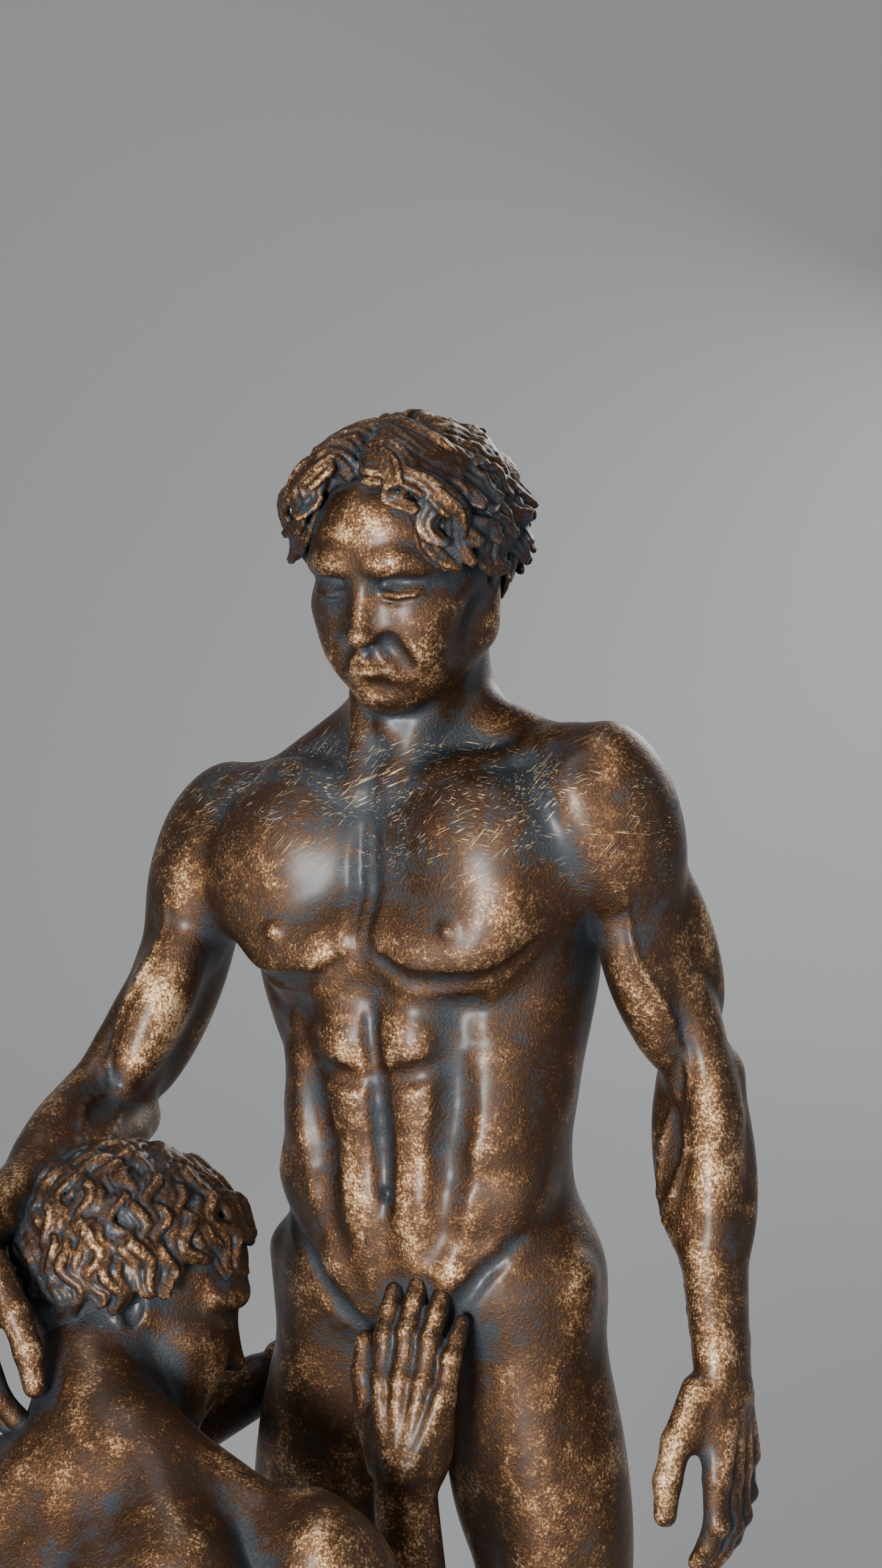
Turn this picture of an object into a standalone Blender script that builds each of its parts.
"""Statue of two men embracing: one stands, the other kneels before him, on a low base.

The figures are modelled like clay: soft shapes are put on one after another and melt into each
other, and the skin around them becomes one closed mesh. Sizes of the body are in percent of the
standing man's height, sizes of the base in metres. +Z is up, the standing man faces -Y, and the
origin is the centre of the base's underside.
"""

import math

import bmesh
import bpy
import numpy as np
import openvdb

# Sizes in metres.
FIGURE_HEIGHT = 0.300
BASE_THICKNESS = 0.010
BASE_MARGIN = 0.009
BASE_CORNER = 0.014
BASE_CHAMFER = 0.002
CLEARANCE = 0.0003
GRAIN = 0.0012

FACES_OF_GROUP = 9400

# The group's footprint on the base, from the standing man's axis, in percent of his height.
FOOTPRINT_LOW = (-20.5, -54.5)
FOOTPRINT_HIGH = (15.0, 6.8)

LEFT, RIGHT = 1, -1
BOTH = (LEFT, RIGHT)
DOWN = (0, 0, -1)

# Lengths of the limbs and size of the hand, in percent of the height.
UPPER_ARM, FOREARM = 17.6, 15.2
THIGH, SHIN = 24.3, 24.0
HAND = 1.08
SKULL = np.array([0, 0.7, 1.9])
SKULL_RADII = np.array([4.7, 5.7, 4.8])


def unit(vector):
    vector = np.asarray(vector, float)
    return vector / np.linalg.norm(vector)


def turn(axis, degrees):
    """Rotation matrix about an axis."""
    x, y, z = unit(axis)
    angle = math.radians(degrees)
    c, s = math.cos(angle), math.sin(angle)
    cross = np.array([[0, -z, y], [z, 0, -x], [-y, x, 0]])
    return c * np.eye(3) + s * cross + (1 - c) * np.outer([x, y, z], [x, y, z])


def lean(forward=0, sideways=0, facing=0):
    """Axes of a body part: bowed forward, tilted sideways, then turned about the vertical."""
    return turn((0, 0, 1), facing) @ turn((0, 1, 0), sideways) @ turn((1, 0, 0), forward)


def orthogonal(matrix):
    u, _, v = np.linalg.svd(matrix)
    return u @ v


class Clay:
    """Shapes in the order in which they are put on: (distance function, centre, reach, blend, carve)."""

    def __init__(self):
        self.shapes = []

    def put(self, distance, centre, reach, blend, carve=False):
        self.shapes.append((distance, np.asarray(centre, float), reach, blend, carve))

    def ball(self, centre, radii, blend, axes=np.eye(3), carve=False):
        """An ellipsoid. The columns of axes are its own directions."""
        centre = np.asarray(centre, float)
        radii = np.broadcast_to(np.asarray(radii, float), 3)
        to_unit = (np.asarray(axes, float) / radii).astype(np.float32)
        shrink = (1 / radii).astype(np.float32)
        middle = centre.astype(np.float32)

        def distance(points):
            local = (points - middle) @ to_unit
            near = np.sqrt(np.einsum("ij,ij->i", local, local)) + np.float32(1e-9)
            scaled = local * shrink
            slope = np.sqrt(np.einsum("ij,ij->i", scaled, scaled)) + np.float32(1e-9)
            return near * (near - 1) / slope

        self.put(distance, centre, float(radii.max()), blend, carve)

    def limb(self, a, b, radius_a, radius_b, blend, carve=False):
        """A tapered stick with round ends, from a to b."""
        a, b = np.asarray(a, float), np.asarray(b, float)
        start = a.astype(np.float32)
        along = (b - a).astype(np.float32)
        length2 = max(float(along @ along), 1e-12)
        narrow = radius_b - radius_a

        def distance(points):
            offset = points - start
            share = np.clip(offset @ along / length2, 0, 1)
            offset = offset - share[:, None] * along
            gap = np.sqrt(np.einsum("ij,ij->i", offset, offset))
            return gap - (radius_a + narrow * share)

        reach = float(np.linalg.norm(b - a)) / 2 + max(radius_a, radius_b)
        self.put(distance, (a + b) / 2, reach, blend, carve)

    def cut_below(self, height):
        """Cuts everything below a level off flat."""

        def distance(points):
            return points[:, 2] - np.float32(height)

        self.put(distance, (0, 0, height), 1e6, 0.0002, carve=True)


def melt(first, second, blend):
    """The smaller of two distances, rounded where they are alike."""
    overlap = np.maximum(blend - np.abs(first - second), 0) / blend
    return np.minimum(first, second) - overlap * overlap * np.float32(blend / 4)


def field(shapes, points, far):
    """Distance of each point from the clay, below zero inside it."""
    value = np.full(len(points), far, np.float32)
    for distance, _, _, blend, carve in shapes:
        if carve:
            value = -melt(-value, distance(points), blend)
        else:
            value = melt(value, distance(points), blend)
    return value


def skin(clays, low, high, grain):
    """(points, quads) of the surface around the clays, on a grid of this spacing."""
    block = 16
    side = block * grain
    radius = side / 2 * math.sqrt(3)
    band = 3.0 * grain
    first = np.floor(np.asarray(low) / side).astype(int)
    last = np.ceil(np.asarray(high) / side).astype(int)
    offsets = np.stack(np.meshgrid(*[np.arange(block)] * 3, indexing="ij"), -1).reshape(-1, 3)
    cells = np.stack(np.meshgrid(*[np.arange(a, b) for a, b in zip(first, last)], indexing="ij"), -1)
    cells = cells.reshape(-1, 3)
    centres = ((cells + 0.5) * side).astype(np.float32)
    rough = np.full(len(centres), 1.0, np.float32)
    tables = []
    for clay in clays:
        middles = np.array([shape[1] for shape in clay.shapes], np.float32)
        reaches = np.array([shape[2] + shape[3] for shape in clay.shapes], np.float32)
        tables.append((clay, middles, reaches))
        added = [shape for shape in clay.shapes if not shape[4]]
        rough = np.minimum(rough, field(added, centres, 1.0))
    samples = np.full((last - first) * block, band, np.float32)
    for index, cell in enumerate(cells - first):
        window = tuple(slice(start * block, (start + 1) * block) for start in cell)
        if abs(rough[index]) > radius * 1.5:
            samples[window] = band * np.sign(rough[index])
            continue
        points = ((cells[index] * block + offsets) * grain).astype(np.float32)
        value = np.full(len(points), band, np.float32)
        for clay, middles, reaches in tables:
            gap = np.linalg.norm(middles - centres[index], axis=1) - reaches - radius
            near = [clay.shapes[i] for i in np.nonzero(gap <= band)[0]]
            if near:
                value = melt(value, field(near, points, 4 * band), 0.002 * FIGURE_HEIGHT)
        samples[window] = np.clip(value, -band, band).reshape(block, block, block)
    close_corner_contacts(samples, grain)
    grid = openvdb.FloatGrid(band)
    grid.copyFromArray(samples)
    points, quads = grid.convertToQuads(0.0)
    return (points + first * block) * grain, quads


def close_corner_contacts(samples, grain):
    """Fills in where the clay meets itself only along an edge of the grid, so that the skin stays a skin."""
    whole = slice(None)
    for _ in range(12):
        filled = 0
        for axis in range(3):
            one, two = [other for other in range(3) if other != axis]
            corners = []
            for shift in ((0, 0), (1, 1), (0, 1), (1, 0)):
                window = [whole, whole, whole]
                window[one] = slice(shift[0], samples.shape[one] - 1 + shift[0])
                window[two] = slice(shift[1], samples.shape[two] - 1 + shift[1])
                corners.append(samples[tuple(window)])
            for a, b, c, d in (corners, corners[2:] + corners[:2]):
                touching = (a < 0) & (b < 0) & (c >= 0) & (d >= 0)
                c[touching] = -0.1 * grain
                filled += int(touching.sum())
        if not filled:
            break


class Frame:
    """A place on a body: an origin, and axes to the figure's left, back and up. Places are in percent."""

    def __init__(self, origin, axes, scale, side=LEFT):
        self.origin = np.asarray(origin, float)
        self.axes = axes
        self.scale = scale
        self.side = side

    def at(self, x, y, z):
        return self.origin + self.axes @ (np.array([x * self.side, y, z]) * self.scale)

    def turned(self, x=0, y=0, z=0):
        """Axes of a shape turned in this frame: first about z, then y, then x."""
        about_y = turn((0, 1, 0), y * self.side)
        about_z = turn((0, 0, 1), z * self.side)
        return self.axes @ turn((1, 0, 0), x) @ about_y @ about_z

    def mirrored(self, side):
        return Frame(self.origin, self.axes, self.scale, side)


def bone(start, end, front, scale, side):
    """A frame at start whose up axis points away from end, and which faces the front given."""
    up = unit(start - end)
    back = -np.asarray(front, float)
    back = unit(back - up * (back @ up))
    return Frame(start, np.stack([np.cross(back, up), back, up], 1), scale, side)


def end_frame(origin, fingers, palm, scale, side):
    """The frame of a hand or foot, from where its fingers point and its palm or sole faces."""
    up = -unit(fingers)
    back = -unit(palm)
    back = unit(back - up * (back @ up))
    return Frame(origin, np.stack([np.cross(back, up), back, up], 1), scale, side)


def bend(start, end, first, second, pole):
    """The middle joint of a limb of two bones that reaches from start to end, bent towards pole."""
    reach = end - start
    length = min(np.linalg.norm(reach), (first + second) * 0.9995)
    along = unit(reach)
    out = np.asarray(pole, float)
    out = unit(out - along * (out @ along))
    near = (first**2 - second**2 + length**2) / (2 * length)
    return start + along * near + out * math.sqrt(max(first**2 - near**2, 0.0))


class Man:
    """A muscular man, posed by a few joints. place turns a spot in percent into metres."""

    def __init__(self, height, place):
        self.u = height / 100
        self.place = place
        self.clay = Clay()
        self.arms = {}
        self.legs = {}

    def ball(self, frame, centre, radii, blend, x=0, y=0, z=0, carve=False):
        size = np.array(radii) * self.u
        self.clay.ball(frame.at(*centre), size, blend * self.u, frame.turned(x, y, z), carve)

    def limb(self, a, b, radius_a, radius_b, blend, carve=False):
        self.clay.limb(a, b, radius_a * self.u, radius_b * self.u, blend * self.u, carve)

    def chain(self, points, radii, blend, carve=False):
        for a, b, radius_a, radius_b in zip(points, points[1:], radii, radii[1:]):
            self.limb(a, b, radius_a, radius_b, blend, carve)

    def stand(self, pelvis, pelvis_axes, chest_axes, head, head_axes, lumbar=9.5, ribs=9.0):
        """Places hips, waist, chest and head."""
        u = self.u
        self.pelvis = Frame(self.place(pelvis), pelvis_axes, u)
        middle = orthogonal((pelvis_axes + chest_axes) / 2)
        self.waist = Frame(self.pelvis.at(0, -0.2, lumbar), middle, u)
        self.chest = Frame(self.waist.origin + chest_axes @ np.array([0, 0, ribs]) * u, chest_axes, u)
        self.head = Frame(self.place(head), head_axes, u)
        throat = (self.chest.at(0, -1.5, 11.0) + self.head.at(0, -3.5, -6.0)) / 2
        self.throat = Frame(throat, orthogonal((chest_axes + head_axes) / 2), u)

    def reach(self, side, wrist, pole, fingers, palm):
        """Places an arm by its wrist. The elbow bends towards pole."""
        u = self.u
        shoulder = self.chest.mirrored(side).at(11.6, 0.6, 8.6)
        wrist = self.place(wrist)
        elbow = bend(shoulder, wrist, UPPER_ARM * u, FOREARM * u, pole)
        wrist = elbow + unit(wrist - elbow) * FOREARM * u
        front = -np.asarray(pole, float)
        self.arms[side] = {
            "upper": bone(shoulder, elbow, front, u, side),
            "fore": bone(elbow, wrist, front + 0.35 * np.asarray(palm), u, side),
            "low": bone(elbow, wrist, palm, u, side),
            "hand": end_frame(wrist, fingers, palm, u * HAND, side),
        }

    def step(self, side, ankle, pole, toes, sole):
        """Places a leg by its ankle. The knee bends towards pole."""
        u = self.u
        hip = self.pelvis.mirrored(side).at(5.0, 0.3, -0.8)
        ankle = self.place(ankle)
        knee = bend(hip, ankle, THIGH * u, SHIN * u, pole)
        ankle = knee + unit(ankle - knee) * SHIN * u
        up = -unit(sole)
        back = -unit(toes)
        back = unit(back - up * (back @ up))
        self.legs[side] = {
            "thigh": bone(hip, knee, pole, u, side),
            "shin": bone(knee, ankle, pole, u, side),
            "foot": Frame(ankle, np.stack([np.cross(back, up), back, up], 1), u, side),
        }

    def back_and_hips(self):
        chest, waist, pelvis = self.chest, self.waist, self.pelvis
        self.ball(chest, (0, 0.3, -0.5), (8.0, 5.7, 10.8), 2.0)
        self.ball(chest, (0, 0.7, 6.4), (10.0, 4.3, 4.4), 2.5)
        self.ball(waist, (0, 0.0, 0.0), (7.0, 4.5, 8.0), 2.5)
        self.ball(pelvis, (0, 0.7, 0.5), (7.9, 5.0, 6.3), 2.5)
        for side in BOTH:
            c, w, p = chest.mirrored(side), waist.mirrored(side), pelvis.mirrored(side)
            # Wide muscle from armpit to waist, shoulder blade, column beside the spine.
            self.ball(c, (7.7, 1.4, -0.3), (2.3, 3.6, 6.8), 2.2, y=8)
            self.ball(c, (5.6, 3.7, 4.4), (4.0, 2.0, 4.4), 1.4, y=-14, x=6)
            self.ball(c, (8.4, 2.8, 3.8), (2.0, 1.8, 3.0), 1.4, y=40)
            self.limb(c.at(2.0, 4.2, 2), w.at(2.0, 3.2, -1), 1.8, 1.8, 1.6)
            self.limb(w.at(2.0, 3.2, -1), p.at(1.6, 3.9, 3), 1.8, 1.3, 1.6)
            # Yoke from neck to shoulder tip.
            self.limb(c.at(1.8, 2.2, 13.4), c.at(9.6, 1.2, 10.1), 2.4, 1.6, 2.2)
            self.limb(c.at(1.4, 3.0, 12.5), c.at(6.0, 4.0, 7.0), 2.0, 1.8, 2.0)
            # Flank, hip and buttock.
            self.ball(w, (5.0, -0.3, -1.0), (2.5, 3.9, 5.2), 2.0, y=4)
            self.ball(p, (6.2, -0.3, 4.9), (1.6, 3.5, 2.7), 1.3, y=8)
            self.ball(p, (5.5, 0.8, 0.0), (2.3, 3.6, 4.6), 2.2)
            self.ball(p, (4.0, 4.0, -2.6), (4.2, 3.7, 4.8), 1.2)
        self.ball(pelvis, (0, -2.6, 2.0), (4.8, 2.5, 5.6), 2.4)

    def breast_and_belly(self):
        chest, waist, pelvis = self.chest, self.waist, self.pelvis
        for side in BOTH:
            c, w, p = chest.mirrored(side), waist.mirrored(side), pelvis.mirrored(side)
            upper_arm = self.arms[side]["upper"]
            # Belly column, in four steps with shallow dips between them.
            column = [c.at(2.1, -4.1, -4.5), w.at(2.0, -3.15, 1.0), p.at(1.8, -3.6, 5.0), p.at(1.0, -3.9, -0.5)]
            self.chain(column, [1.6, 1.75, 1.75, 1.0], 1.3)
            steps = [(c.at(2.1, -4.35, -3.6), 1.9), (c.at(2.05, -4.2, -7.2), 1.9)]
            steps += [(w.at(2.0, -3.3, 0.4), 2.1), (p.at(1.8, -3.75, 5.2), 2.2)]
            for centre, height in steps:
                size = np.array([1.75, 1.35, height]) * self.u
                self.clay.ball(centre, size, 0.8 * self.u, w.axes)
            # Ridge from the flank down to the groin.
            ridge = [w.at(5.2, -2.2, 1.5), p.at(5.6, -2.9, 5.6), p.at(4.5, -3.9, 2.2), p.at(2.4, -4.3, -1.4)]
            self.chain(ridge, [1.6, 1.35, 1.1, 0.8], 1.2)
            # Slips of muscle on the ribs.
            for slip in range(4):
                drop = 2.1 * slip
                behind = c.at(8.3 - 0.3 * slip, 0.4, -0.2 - drop)
                before = c.at(6.0 - 0.25 * slip, -3.3, -1.9 - drop)
                self.limb(behind, before, 0.95, 0.6, 1.1)
            # Breast muscle: body, upper part, lower edge and the strap to the arm.
            self.ball(c, (4.4, -3.5, 3.9), (5.1, 1.95, 4.2), 1.0, y=8, z=-14, x=-6)
            self.ball(c, (5.6, -2.9, 6.2), (5.4, 1.8, 3.0), 1.6, y=-14, z=-10)
            edge = [c.at(1.1, -4.6, 1.5), c.at(3.2, -4.45, 0.55), c.at(5.8, -3.75, 0.75), c.at(8.2, -2.1, 2.8)]
            self.chain(edge, [0.8, 1.15, 1.25, 1.1], 1.4)
            self.limb(c.at(6.2, -3.0, 4.2), upper_arm.at(-0.6, -1.2, -4.6), 2.3, 1.4, 1.4)
            # Collar bone and nipple.
            self.limb(c.at(1.2, -3.2, 9.2), c.at(9.6, -0.3, 10.4), 0.6, 0.75, 1.1)
            self.ball(c, (5.2, -5.35, 1.9), (0.38, 0.5, 0.38), 0.25)
        # Furrows of breastbone and belly, navel, pit of the neck.
        self.limb(chest.at(0, -5.9, 8.0), chest.at(0, -6.0, 0.6), 0.3, 0.4, 0.9, carve=True)
        furrow = [chest.at(0, -5.75, -2.6), waist.at(0, -4.95, 1.0), pelvis.at(0, -5.45, 6.2)]
        self.chain(furrow, [0.35, 0.4, 0.35], 0.9, carve=True)
        self.ball(pelvis, (0, -5.35, 5.6), (0.32, 0.6, 0.5), 0.4, carve=True)
        self.ball(chest, (0, -4.3, 9.9), (0.9, 1.0, 0.9), 1.0, carve=True)
        # Spine and the cleft below it.
        spine = [chest.at(0, 6.2, 8), chest.at(0, 6.4, 0), waist.at(0, 5.5, 0), pelvis.at(0, 5.6, 3.5)]
        self.chain(spine, [0.6, 0.6, 0.6, 0.5], 1.6, carve=True)
        self.limb(pelvis.at(0, 7.9, -1.0), pelvis.at(0, 6.7, -6.0), 0.35, 0.4, 0.7, carve=True)

    def leg(self, side):
        thigh, shin = self.legs[side]["thigh"], self.legs[side]["shin"]
        self.limb(thigh.at(0, 0, 0), thigh.at(0, 0, -THIGH), 4.6, 2.75, 2.0)
        self.ball(thigh, (0.4, -2.1, -10.5), (2.7, 2.4, 9.8), 1.1)
        self.ball(thigh, (2.7, -0.5, -12.0), (2.4, 3.0, 9.6), 1.1)
        self.ball(thigh, (-1.9, -1.4, -18.0), (1.8, 1.8, 4.4), 0.9, y=-8)
        self.ball(thigh, (-2.0, 0.7, -8.0), (3.0, 3.8, 8.4), 1.4, y=5)
        self.limb(thigh.at(3.2, -2.4, 0.6), thigh.at(-2.6, -0.6, -20.5), 1.1, 0.8, 1.2)
        self.ball(thigh, (-1.1, 2.5, -12.5), (1.7, 2.1, 9.0), 0.7)
        self.ball(thigh, (1.4, 2.3, -12.5), (1.8, 2.1, 9.2), 0.7)
        # Knee.
        self.ball(thigh, (0, -2.05, -24.0), (1.55, 1.2, 1.9), 0.7)
        self.ball(thigh, (-1.5, 0.2, -24.0), (1.2, 1.8, 1.7), 0.9)
        self.ball(thigh, (1.5, 0.2, -24.0), (1.1, 1.8, 1.7), 0.9)
        # Shin, calf and ankle.
        self.limb(shin.at(0, -0.1, 0), shin.at(0, 0.2, -SHIN), 2.5, 1.25, 1.2)
        self.limb(shin.at(0, -1.9, -2.0), shin.at(-0.3, -0.9, -21), 0.9, 0.7, 0.8)
        self.ball(shin, (-1.3, 1.6, -6.9), (2.0, 2.4, 5.6), 0.9)
        self.ball(shin, (1.3, 1.6, -6.3), (1.9, 2.2, 5.2), 0.9)
        self.ball(shin, (0, 1.0, -11.5), (2.1, 1.9, 6.6), 0.8)
        self.ball(shin, (1.0, -0.9, -8.0), (1.3, 1.5, 7.6), 0.8)
        self.limb(shin.at(0, 1.5, -14), shin.at(0, 2.2, -23.5), 0.85, 0.75, 0.8)
        self.ball(shin, (-1.3, 0.1, -23.4), (0.75, 0.9, 0.9), 0.6)
        self.ball(shin, (1.35, 0.4, -23.9), (0.7, 0.9, 0.9), 0.6)
        self.foot(self.legs[side]["foot"])

    def foot(self, foot):
        self.limb(foot.at(0, 0.2, 0), foot.at(0, 1.4, -2.2), 1.35, 1.5, 0.9)
        self.ball(foot, (0, 2.2, -2.7), (1.65, 1.9, 1.6), 0.9)
        self.limb(foot.at(0, -0.4, -0.9), foot.at(-0.2, -6.0, -2.9), 1.5, 1.15, 1.0)
        self.limb(foot.at(0.8, 1.8, -3.1), foot.at(1.3, -5.5, -3.3), 1.1, 1.0, 0.9)
        self.ball(foot, (0, -6.4, -3.3), (2.4, 2.0, 1.05), 0.8)
        for toe in range(5):
            across = -1.75 + 0.93 * toe
            size = 0.88 if toe == 0 else 0.63 - 0.035 * toe
            length = 9.6 - 0.09 * toe**2
            root = foot.at(across, -6.6 + 0.15 * toe, -3.2)
            middle = foot.at(across, -(length + 6.6) / 2, -3.0)
            tip = foot.at(across, -length + size, -3.65)
            self.chain([root, middle, tip], [size, size, size * 0.95], 0.25)

    def arm(self, side, curl=(14, 18, 12), spread=3.0):
        arm = self.arms[side]
        upper, fore, low = arm["upper"], arm["fore"], arm["low"]
        chest = self.chest.mirrored(side)
        # Shoulder cap in three heads.
        self.limb(upper.at(0, 0, 0.2), upper.at(0, 0.1, -UPPER_ARM), 2.9, 1.75, 1.2)
        self.ball(upper, (0.8, 0.1, -2.6), (2.9, 3.3, 5.6), 0.7, y=4)
        self.ball(upper, (-0.2, -1.9, -2.5), (2.2, 2.1, 5.0), 0.6, x=6)
        self.ball(upper, (0.0, 2.0, -2.6), (2.2, 2.0, 4.8), 0.6, x=-6)
        self.limb(chest.at(10.2, 0.6, 9.9), upper.at(0.6, 0, -1.0), 1.8, 2.4, 1.2)
        # Upper arm.
        self.ball(upper, (-0.5, -1.45, -10.4), (1.95, 1.95, 5.7), 0.45)
        self.ball(upper, (0.8, 1.55, -9.2), (1.9, 1.9, 5.9), 0.5)
        self.ball(upper, (-1.0, 1.5, -10.2), (1.6, 1.8, 6.2), 0.5)
        self.ball(upper, (1.3, -0.4, -13.6), (1.2, 1.5, 4.0), 0.5)
        self.limb(upper.at(-0.6, -1.8, -14.0), upper.at(-0.3, -1.1, -17.8), 0.8, 0.6, 0.8)
        # Elbow.
        self.ball(upper, (-1.5, 0.6, -17.4), (0.9, 1.0, 1.0), 0.8)
        self.ball(upper, (1.35, 0.4, -17.3), (0.9, 1.0, 1.1), 0.8)
        self.ball(fore, (0, 1.35, -0.2), (1.0, 0.9, 1.3), 0.6)
        # Forearm, flattened towards the wrist.
        self.limb(fore.at(0, 0, 0), fore.at(0, 0, -7), 2.0, 1.9, 1.0)
        self.limb(low.at(0, 0, -5.5), low.at(0, 0, -FOREARM), 1.9, 1.25, 1.0)
        self.limb(low.at(0.75, 0, -9), low.at(0.75, 0, -FOREARM), 1.0, 0.85, 0.7)
        self.limb(low.at(-0.75, 0.1, -8), low.at(-0.75, 0.1, -FOREARM), 1.1, 0.85, 0.7)
        self.limb(upper.at(1.4, -0.7, -14.2), fore.at(1.5, -0.6, -2.0), 1.0, 1.4, 0.6)
        self.ball(fore, (1.35, -0.7, -3.8), (1.45, 1.55, 5.2), 0.5, y=5)
        self.ball(fore, (-1.1, -0.6, -4.3), (1.55, 1.75, 5.6), 0.5, y=-4)
        self.ball(fore, (0.7, 1.0, -4.6), (1.5, 1.35, 5.4), 0.5)
        self.ball(low, (-0.9, 0.5, -13.9), (0.6, 0.65, 0.7), 0.5)
        self.hand(arm["hand"], curl, spread)

    def hand(self, hand, curl, spread):
        self.limb(hand.at(0, 0, 0.6), hand.at(0, 0.05, -1.4), 1.2, 1.15, 0.8)
        self.ball(hand, (0.0, -0.45, -3.0), (2.1, 0.85, 2.7), 0.6)
        self.ball(hand, (1.55, -0.75, -2.2), (1.05, 0.95, 2.1), 0.5, y=-22)
        self.ball(hand, (-1.3, -0.6, -2.5), (0.85, 0.85, 2.3), 0.5)
        finger_lengths = (4.9, 5.4, 5.1, 4.1)
        for finger, length in enumerate(finger_lengths):
            across = 1.6 - 1.08 * finger
            knuckle = hand.at(across, 0.15 - 0.12 * abs(finger - 1.2), -5.4 + 0.12 * abs(finger - 1) ** 2)
            self.limb(hand.at(across * 0.55, 0.1, -0.8), knuckle, 0.85, 0.72, 0.5)
            sideways = math.radians(spread * (1.3 - finger))
            size = 0.68 if finger < 3 else 0.57
            angle = 0.0
            points, radii = [knuckle], [size * 1.06]
            for joint, share in enumerate((0.48, 0.29, 0.23)):
                angle += math.radians(curl[joint])
                way = [math.sin(sideways) * math.cos(angle) * hand.side, -math.sin(angle)]
                way.append(-math.cos(sideways) * math.cos(angle))
                points.append(points[-1] + hand.axes @ np.array(way) * length * share * self.u)
                radii.append(size * (0.97, 0.9, 0.8)[joint])
            self.chain(points, radii, 0.18)
        thumb = [hand.at(1.5, -0.6, -1.0), hand.at(2.75, -1.35, -3.3)]
        thumb += [hand.at(3.3, -1.75, -5.1), hand.at(3.45, -1.95, -6.75)]
        self.chain(thumb, [0.95, 0.82, 0.74, 0.62], 0.35)

    def neck_and_head(self):
        chest, head = self.chest, self.head
        self.limb(chest.at(0, 1.0, 9.5), head.at(0, 1.0, -3.2), 3.5, 3.2, 2.2)
        self.limb(chest.at(0, 2.7, 11.5), head.at(0, 3.0, -1.0), 2.6, 2.4, 2.0)
        self.ball(self.throat, (0, 0, 0), (0.7, 0.9, 0.9), 0.9)
        # Skull, brow and jaw.
        self.ball(head, (0, 0.7, 1.9), (4.7, 5.7, 4.8), 1.0)
        self.ball(head, (0, -2.3, 2.4), (3.9, 3.2, 3.5), 1.2)
        self.ball(head, (0, -1.6, -2.0), (3.55, 3.7, 4.4), 1.2)
        for side in BOTH:
            h = head.mirrored(side)
            self.limb(h.at(3.2, 1.3, -2.2), chest.mirrored(side).at(0.9, -3.0, 9.6), 1.0, 0.65, 1.3)
            jaw = [h.at(3.55, 0.9, -1.0), h.at(3.3, 0.1, -4.0), h.at(1.0, -4.1, -6.0)]
            self.chain(jaw, [1.0, 0.95, 0.95], 1.2)
            self.ball(h, (2.75, -3.35, -1.15), (1.45, 1.3, 1.05), 0.9)
            self.limb(h.at(3.1, -3.2, -0.9), h.at(4.1, 0.0, -0.5), 0.75, 0.6, 0.9)
        self.ball(head, (0, -4.6, -5.85), (1.35, 1.0, 1.0), 0.8)
        self.ball(head, (0, -4.1, -3.9), (1.9, 1.3, 1.4), 0.8)
        # Eyes with closed lids, under the brow.
        for side in BOTH:
            h = head.mirrored(side)
            self.ball(h, (1.95, -5.35, 0.0), (1.3, 1.0, 0.85), 0.7, carve=True)
            self.limb(h.at(0.7, -5.15, 1.15), h.at(3.2, -4.1, 1.15), 0.55, 0.45, 0.6)
            self.ball(h, (1.95, -4.15, -0.02), (1.12, 1.0, 0.95), 0.25)
        # Nose, lips and ears.
        self.limb(head.at(0, -5.0, 0.9), head.at(0, -6.35, -2.1), 0.45, 0.6, 0.7)
        self.ball(head, (0, -6.4, -2.3), (0.62, 0.62, 0.52), 0.3)
        for side in BOTH:
            h = head.mirrored(side)
            self.ball(h, (0.72, -5.75, -2.4), (0.5, 0.7, 0.5), 0.3)
            self.limb(h.at(0.25, -5.5, -3.6), h.at(1.45, -4.75, -3.95), 0.42, 0.2, 0.25)
            self.limb(h.at(0.0, -5.35, -4.35), h.at(1.35, -4.75, -4.05), 0.5, 0.22, 0.25)
            self.ball(h, (4.15, 0.7, -0.6), (0.5, 1.05, 1.75), 0.35, x=-12)

    def lock(self, spots, width, side=LEFT):
        """A lock of hair through spots of (azimuth, elevation, lift) over the skull, in two strands."""
        path = rounded([over_skull(*spot) for spot in spots])
        count = len(path)
        strands = [[], []]
        swells = []
        for i, point in enumerate(path):
            tangent = unit(path[min(i + 1, count - 1)] - path[max(i - 1, 0)])
            outward = unit(point - SKULL)
            across = unit(np.cross(tangent, outward))
            swell = math.sin(math.pi * (0.16 + 0.78 * i / (count - 1))) ** 0.7
            swells.append(swell)
            for strand, offset in zip(strands, (-0.25, 0.25)):
                spot = point + (across * offset + outward * 0.2) * width * swell
                strand.append(self.head.mirrored(side).at(*spot))
        for strand in strands:
            self.chain(strand, [width * 0.36 * (0.35 + 0.65 * swell) for swell in swells], 0.3)

    def wavy_hair(self):
        """Parted, wavy, swept to both sides, with flicks at temples and nape."""
        random = np.random.RandomState(7)
        self.ball(self.head, (0.0, 1.3, 2.7), (5.0, 5.7, 4.9), 0.5)
        self.ball(self.head, (0.0, 3.4, -1.0), (4.1, 3.4, 4.2), 0.8)
        parting = 8.0
        for side in BOTH:
            # Nape and back, from below upwards, so that the upper rows lie on top.
            for root, first in ((-22, 118), (0, 104), (24, 92), (48, 84)):
                for i in range(6):
                    azimuth = first + (176 - first) * (i + 0.5) / 6
                    sway = random.uniform(-16, 6)
                    tip = random.uniform(1.2, 2.3)
                    spots = [(azimuth, root + 16, 0.2), (azimuth - 4 + sway * 0.3, root + 4, 1.0)]
                    spots += [(azimuth + sway * 0.4, root - 10, 0.9), (azimuth - 6 + sway, root - 22, tip)]
                    self.lock(spots, random.uniform(1.7, 2.3), side)
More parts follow.
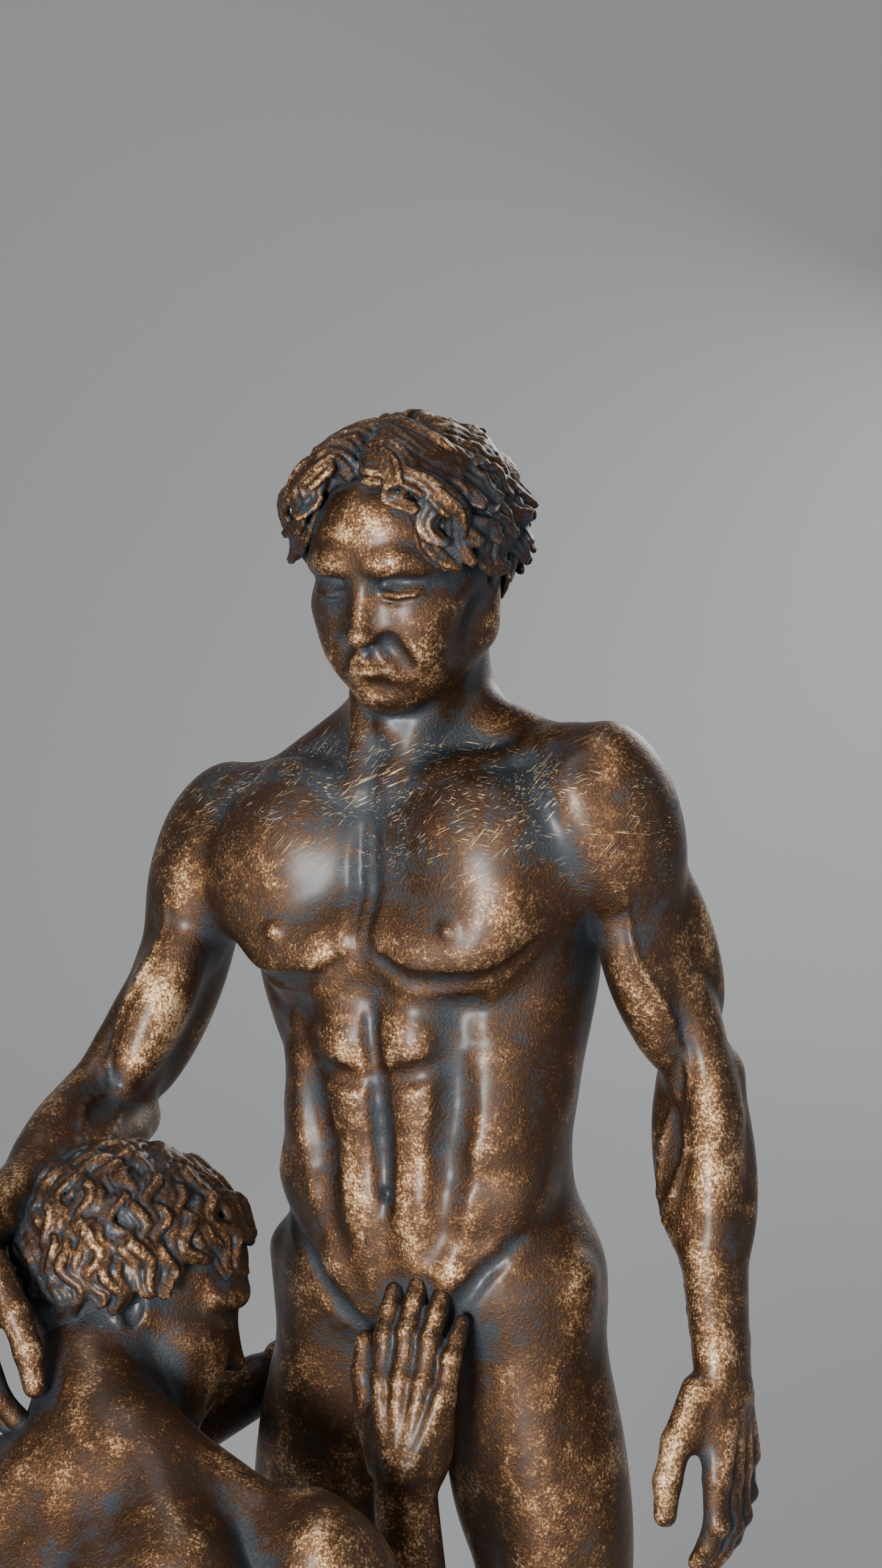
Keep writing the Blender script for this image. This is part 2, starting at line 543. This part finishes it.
            # Sides, over the ear.
            for root, first, last in ((4, 62, 104), (26, 58, 96)):
                for i in range(4):
                    azimuth = first + (last - first) * i / 3
                    end = azimuth + 12 + random.uniform(-4, 8)
                    tip = random.uniform(1.0, 2.2)
                    spots = [(azimuth - 14, root + 22, 0.3), (azimuth - 3, root + 8, 1.3)]
                    spots += [(azimuth + 8, root - 8, 1.2), (end, root - 20, tip)]
                    self.lock(spots, random.uniform(1.7, 2.2), side)
            # From the parting, up and over.
            for i in range(7):
                t = 1 - i / 6
                start = parting * side - 2.5
                root = 50 + 52 * t
                lift = 1.7 - 0.4 * t
                reach = 56 + 66 * t + random.uniform(-4, 4)
                low = 12 - 8 * t + random.uniform(-3, 5)
                spots = [(start, root, 0.1), (start + 14 + 16 * t, root - 1, lift)]
                spots += [(reach * 0.62, 46 + 8 * t, lift), (reach * 0.86, 28, lift * 0.75)]
                spots += [(reach, low, 1.0), (reach + random.uniform(2, 10), low - 11, random.uniform(1.2, 2.2))]
                self.lock(spots, random.uniform(1.9, 2.5), side)

    def short_hair(self):
        """Short, thick, wavy clumps that turn out from the crown."""
        random = np.random.RandomState(11)
        self.ball(self.head, (0.0, 1.3, 2.5), (5.0, 5.7, 4.9), 0.5)
        self.ball(self.head, (0.0, 3.4, -1.0), (4.0, 3.3, 3.9), 0.8)
        rows = ((-26, 6, 128), (-8, 9, 100), (10, 12, 74), (28, 14, 40), (46, 14, 0), (63, 10, 0), (80, 5, 0))
        for row, (elevation, count, first) in enumerate(rows):
            for i in range(count):
                azimuth = first + (360 - 2 * first) * (i + 0.5 * (1 if first else row % 2)) / count
                azimuth += random.uniform(-4, 4)
                wave = random.choice([-1, 1]) * random.uniform(4, 9) / max(math.cos(math.radians(elevation)), 0.35)
                tip = random.uniform(0.9, 1.7)
                spots = [(azimuth, elevation + 13, 0.2), (azimuth + wave, elevation + 4, 1.1)]
                spots += [(azimuth + wave * 0.4, elevation - 6, 1.0), (azimuth - wave * 0.8, elevation - 14, tip)]
                self.lock(spots, random.uniform(1.6, 2.2))


def over_skull(azimuth, elevation, lift):
    """A spot over the skull, in percent. Azimuth 0 is the brow, positive to the figure's left."""
    a, e = math.radians(azimuth), math.radians(elevation)
    way = np.array([math.sin(a) * math.cos(e), -math.cos(a) * math.cos(e), math.sin(e)])
    reach = 1 / np.linalg.norm(way / SKULL_RADII)
    return SKULL + way * (reach + lift)


def rounded(points):
    """A smoother path through the same points, with one more point in each span."""
    points = np.array(points, float)
    padded = np.vstack([2 * points[0] - points[1], points, 2 * points[-1] - points[-2]])
    path = []
    for i, point in enumerate(points[:-1]):
        path.append(point)
        path.append((9 * (padded[i + 1] + padded[i + 2]) - padded[i] - padded[i + 3]) / 16)
    path.append(points[-1])
    return np.array(path)


def standing_man(place):
    man = Man(FIGURE_HEIGHT, place)
    man.stand((0.2, 0.3, 53.6), lean(2, -2), lean(-1, -6, -1), (-1.0, -1.6, 92.8), lean(16, -3, -2), 8.9, 8.6)
    man.step(LEFT, (9.7, 2.7, 4.3), (0.35, -1, 0), (0.5, -1, 0), DOWN)
    man.step(RIGHT, (-8.0, -0.7, 4.3), (-0.3, -1, 0.1), (-0.4, -1, 0), DOWN)
    man.reach(LEFT, (17.4, -0.35, 50.7), (0.35, 0.9, 0), (0.05, -0.12, -1), (-0.55, 0.75, 0.0))
    man.reach(RIGHT, (-17.0, -20.0, 58.0), (-0.25, 0.6, -0.55), (0.1, -0.2, -0.95), (0.5, 0.85, -0.15))
    man.back_and_hips()
    man.breast_and_belly()
    man.arm(LEFT, curl=(10, 16, 12), spread=2.0)
    man.arm(RIGHT, curl=(16, 20, 12), spread=5.0)
    for side in BOTH:
        man.leg(side)
    man.neck_and_head()
    man.wavy_hair()
    return man


def kneeling_man(place):
    man = Man(FIGURE_HEIGHT, place)
    facing = 185
    chest = turn((0, 0, 1), facing) @ lean(40, 2)
    head = turn((0, 0, 1), 130) @ lean(20, 10)
    man.stand((-6.0, -34.7, 20.7), turn((0, 0, 1), facing) @ lean(16), chest, (-11.2, -12.8, 53.8), head)
    toes, sole = (0, -0.848, -0.53), (0, -0.53, 0.848)
    man.step(LEFT, (-14.0, -43.6, 2.7), (-0.25, 1, -0.4), toes, sole)
    man.step(RIGHT, (2.0, -43.4, 2.7), (0.25, 1, -0.4), toes, sole)
    man.reach(RIGHT, (2.7, -8.2, 43.5), (0.15, 0.1, -1.0), (0.0, 0.15, 1), (-0.1, 1, -0.1))
    man.reach(LEFT, (-12.3, 2.3, 44.0), (-1, -0.2, -0.8), (0.75, 0.65, 0.1), (0.65, -0.75, 0))
    man.back_and_hips()
    man.breast_and_belly()
    man.arm(RIGHT, curl=(10, 12, 8), spread=2.5)
    man.arm(LEFT, curl=(14, 18, 10), spread=4.0)
    for side in BOTH:
        man.leg(side)
    man.neck_and_head()
    man.short_hair()
    return man


def largest_shell(points, faces):
    """Drops pockets and loose bits: keeps the faces that hang together with the most others."""
    label = np.arange(len(points))
    while True:
        lowest = label.copy()
        np.minimum.at(lowest, faces.ravel(), np.repeat(label[faces].min(axis=1), faces.shape[1]))
        lowest = lowest[lowest]
        if (lowest == label).all():
            break
        label = lowest
    names, sizes = np.unique(label[faces[:, 0]], return_counts=True)
    faces = faces[label[faces[:, 0]] == names[sizes.argmax()]]
    used, faces_again = np.unique(faces, return_inverse=True)
    return points[used], faces_again.reshape(faces.shape)


def material(name, colour, roughness, metallic):
    made = bpy.data.materials.new(name)
    made.use_nodes = True
    shader = made.node_tree.nodes["Principled BSDF"]
    shader.inputs["Base Color"].default_value = (*colour, 1)
    shader.inputs["Roughness"].default_value = roughness
    shader.inputs["Metallic"].default_value = metallic
    return made


def add_object(name, mesh, surface, location=(0, 0, 0)):
    mesh.materials.append(surface)
    made = bpy.data.objects.new(name, mesh)
    made.location = location
    bpy.context.scene.collection.objects.link(made)
    return made


def make_group(surface, ground, low, high):
    """Both men as one casting, cut off flat at ground, with the middle of the footprint over the origin."""
    u = FIGURE_HEIGHT / 100
    middle = np.array([(low[0] + high[0]) / 2, (low[1] + high[1]) / 2, 0])

    def place(spot):
        return (np.array(spot) - middle) * u + np.array([0, 0, ground])

    clays = [standing_man(place).clay, kneeling_man(place).clay]
    for clay in clays:
        clay.cut_below(ground)
    reach = 70 * u
    points, quads = skin(clays, (-reach, -reach, ground - 4 * GRAIN), (reach, reach, ground + 105 * u), GRAIN)
    points, quads = largest_shell(points, quads)
    mesh = bpy.data.meshes.new("embracing_men")
    mesh.from_pydata(points.tolist(), [], quads.tolist())
    mesh.shade_smooth()
    group = add_object("embracing_men", mesh, surface)
    fewer = group.modifiers.new("fewer faces", "DECIMATE")
    fewer.ratio = FACES_OF_GROUP / (2 * len(quads))
    return group


def make_base(surface, low, high):
    """A low plinth under the footprint, with round corners and a chamfered upper edge."""
    u = FIGURE_HEIGHT / 100
    half_x = (high[0] - low[0]) / 2 * u + BASE_MARGIN
    half_y = (high[1] - low[1]) / 2 * u + BASE_MARGIN
    corner = min(BASE_CORNER, half_x, half_y)
    shape = bmesh.new()
    outline = []
    steps = 8
    for quarter in range(4):
        centre_x = (half_x - corner) * (1 if quarter in (0, 3) else -1)
        centre_y = (half_y - corner) * (1 if quarter in (0, 1) else -1)
        for step in range(steps + 1):
            angle = math.pi / 2 * (quarter + step / steps)
            spot = (centre_x + corner * math.cos(angle), centre_y + corner * math.sin(angle), 0)
            outline.append(shape.verts.new(spot))
    bottom = shape.faces.new(outline)
    bottom.normal_flip()
    raised = bmesh.ops.extrude_face_region(shape, geom=[bottom], use_keep_orig=True)
    top = [item for item in raised["geom"] if isinstance(item, bmesh.types.BMFace)][0]
    bmesh.ops.translate(shape, verts=top.verts, vec=(0, 0, BASE_THICKNESS))
    bmesh.ops.recalc_face_normals(shape, faces=shape.faces)
    rim = [edge for edge in shape.edges if all(vert.co.z > BASE_THICKNESS / 2 for vert in edge.verts)]
    bmesh.ops.bevel(shape, geom=rim, offset=BASE_CHAMFER, segments=1, affect="EDGES", clamp_overlap=True)
    mesh = bpy.data.meshes.new("base")
    shape.to_mesh(mesh)
    shape.free()
    return add_object("base", mesh, surface)


def main():
    for old in list(bpy.data.objects):
        bpy.data.objects.remove(old)
    bronze = material("bronze_paint", (0.20, 0.12, 0.07), 0.42, 0.75)
    dark_bronze = material("dark_bronze_paint", (0.06, 0.05, 0.05), 0.5, 0.6)
    make_group(bronze, BASE_THICKNESS + CLEARANCE, FOOTPRINT_LOW, FOOTPRINT_HIGH)
    make_base(dark_bronze, FOOTPRINT_LOW, FOOTPRINT_HIGH)


main()
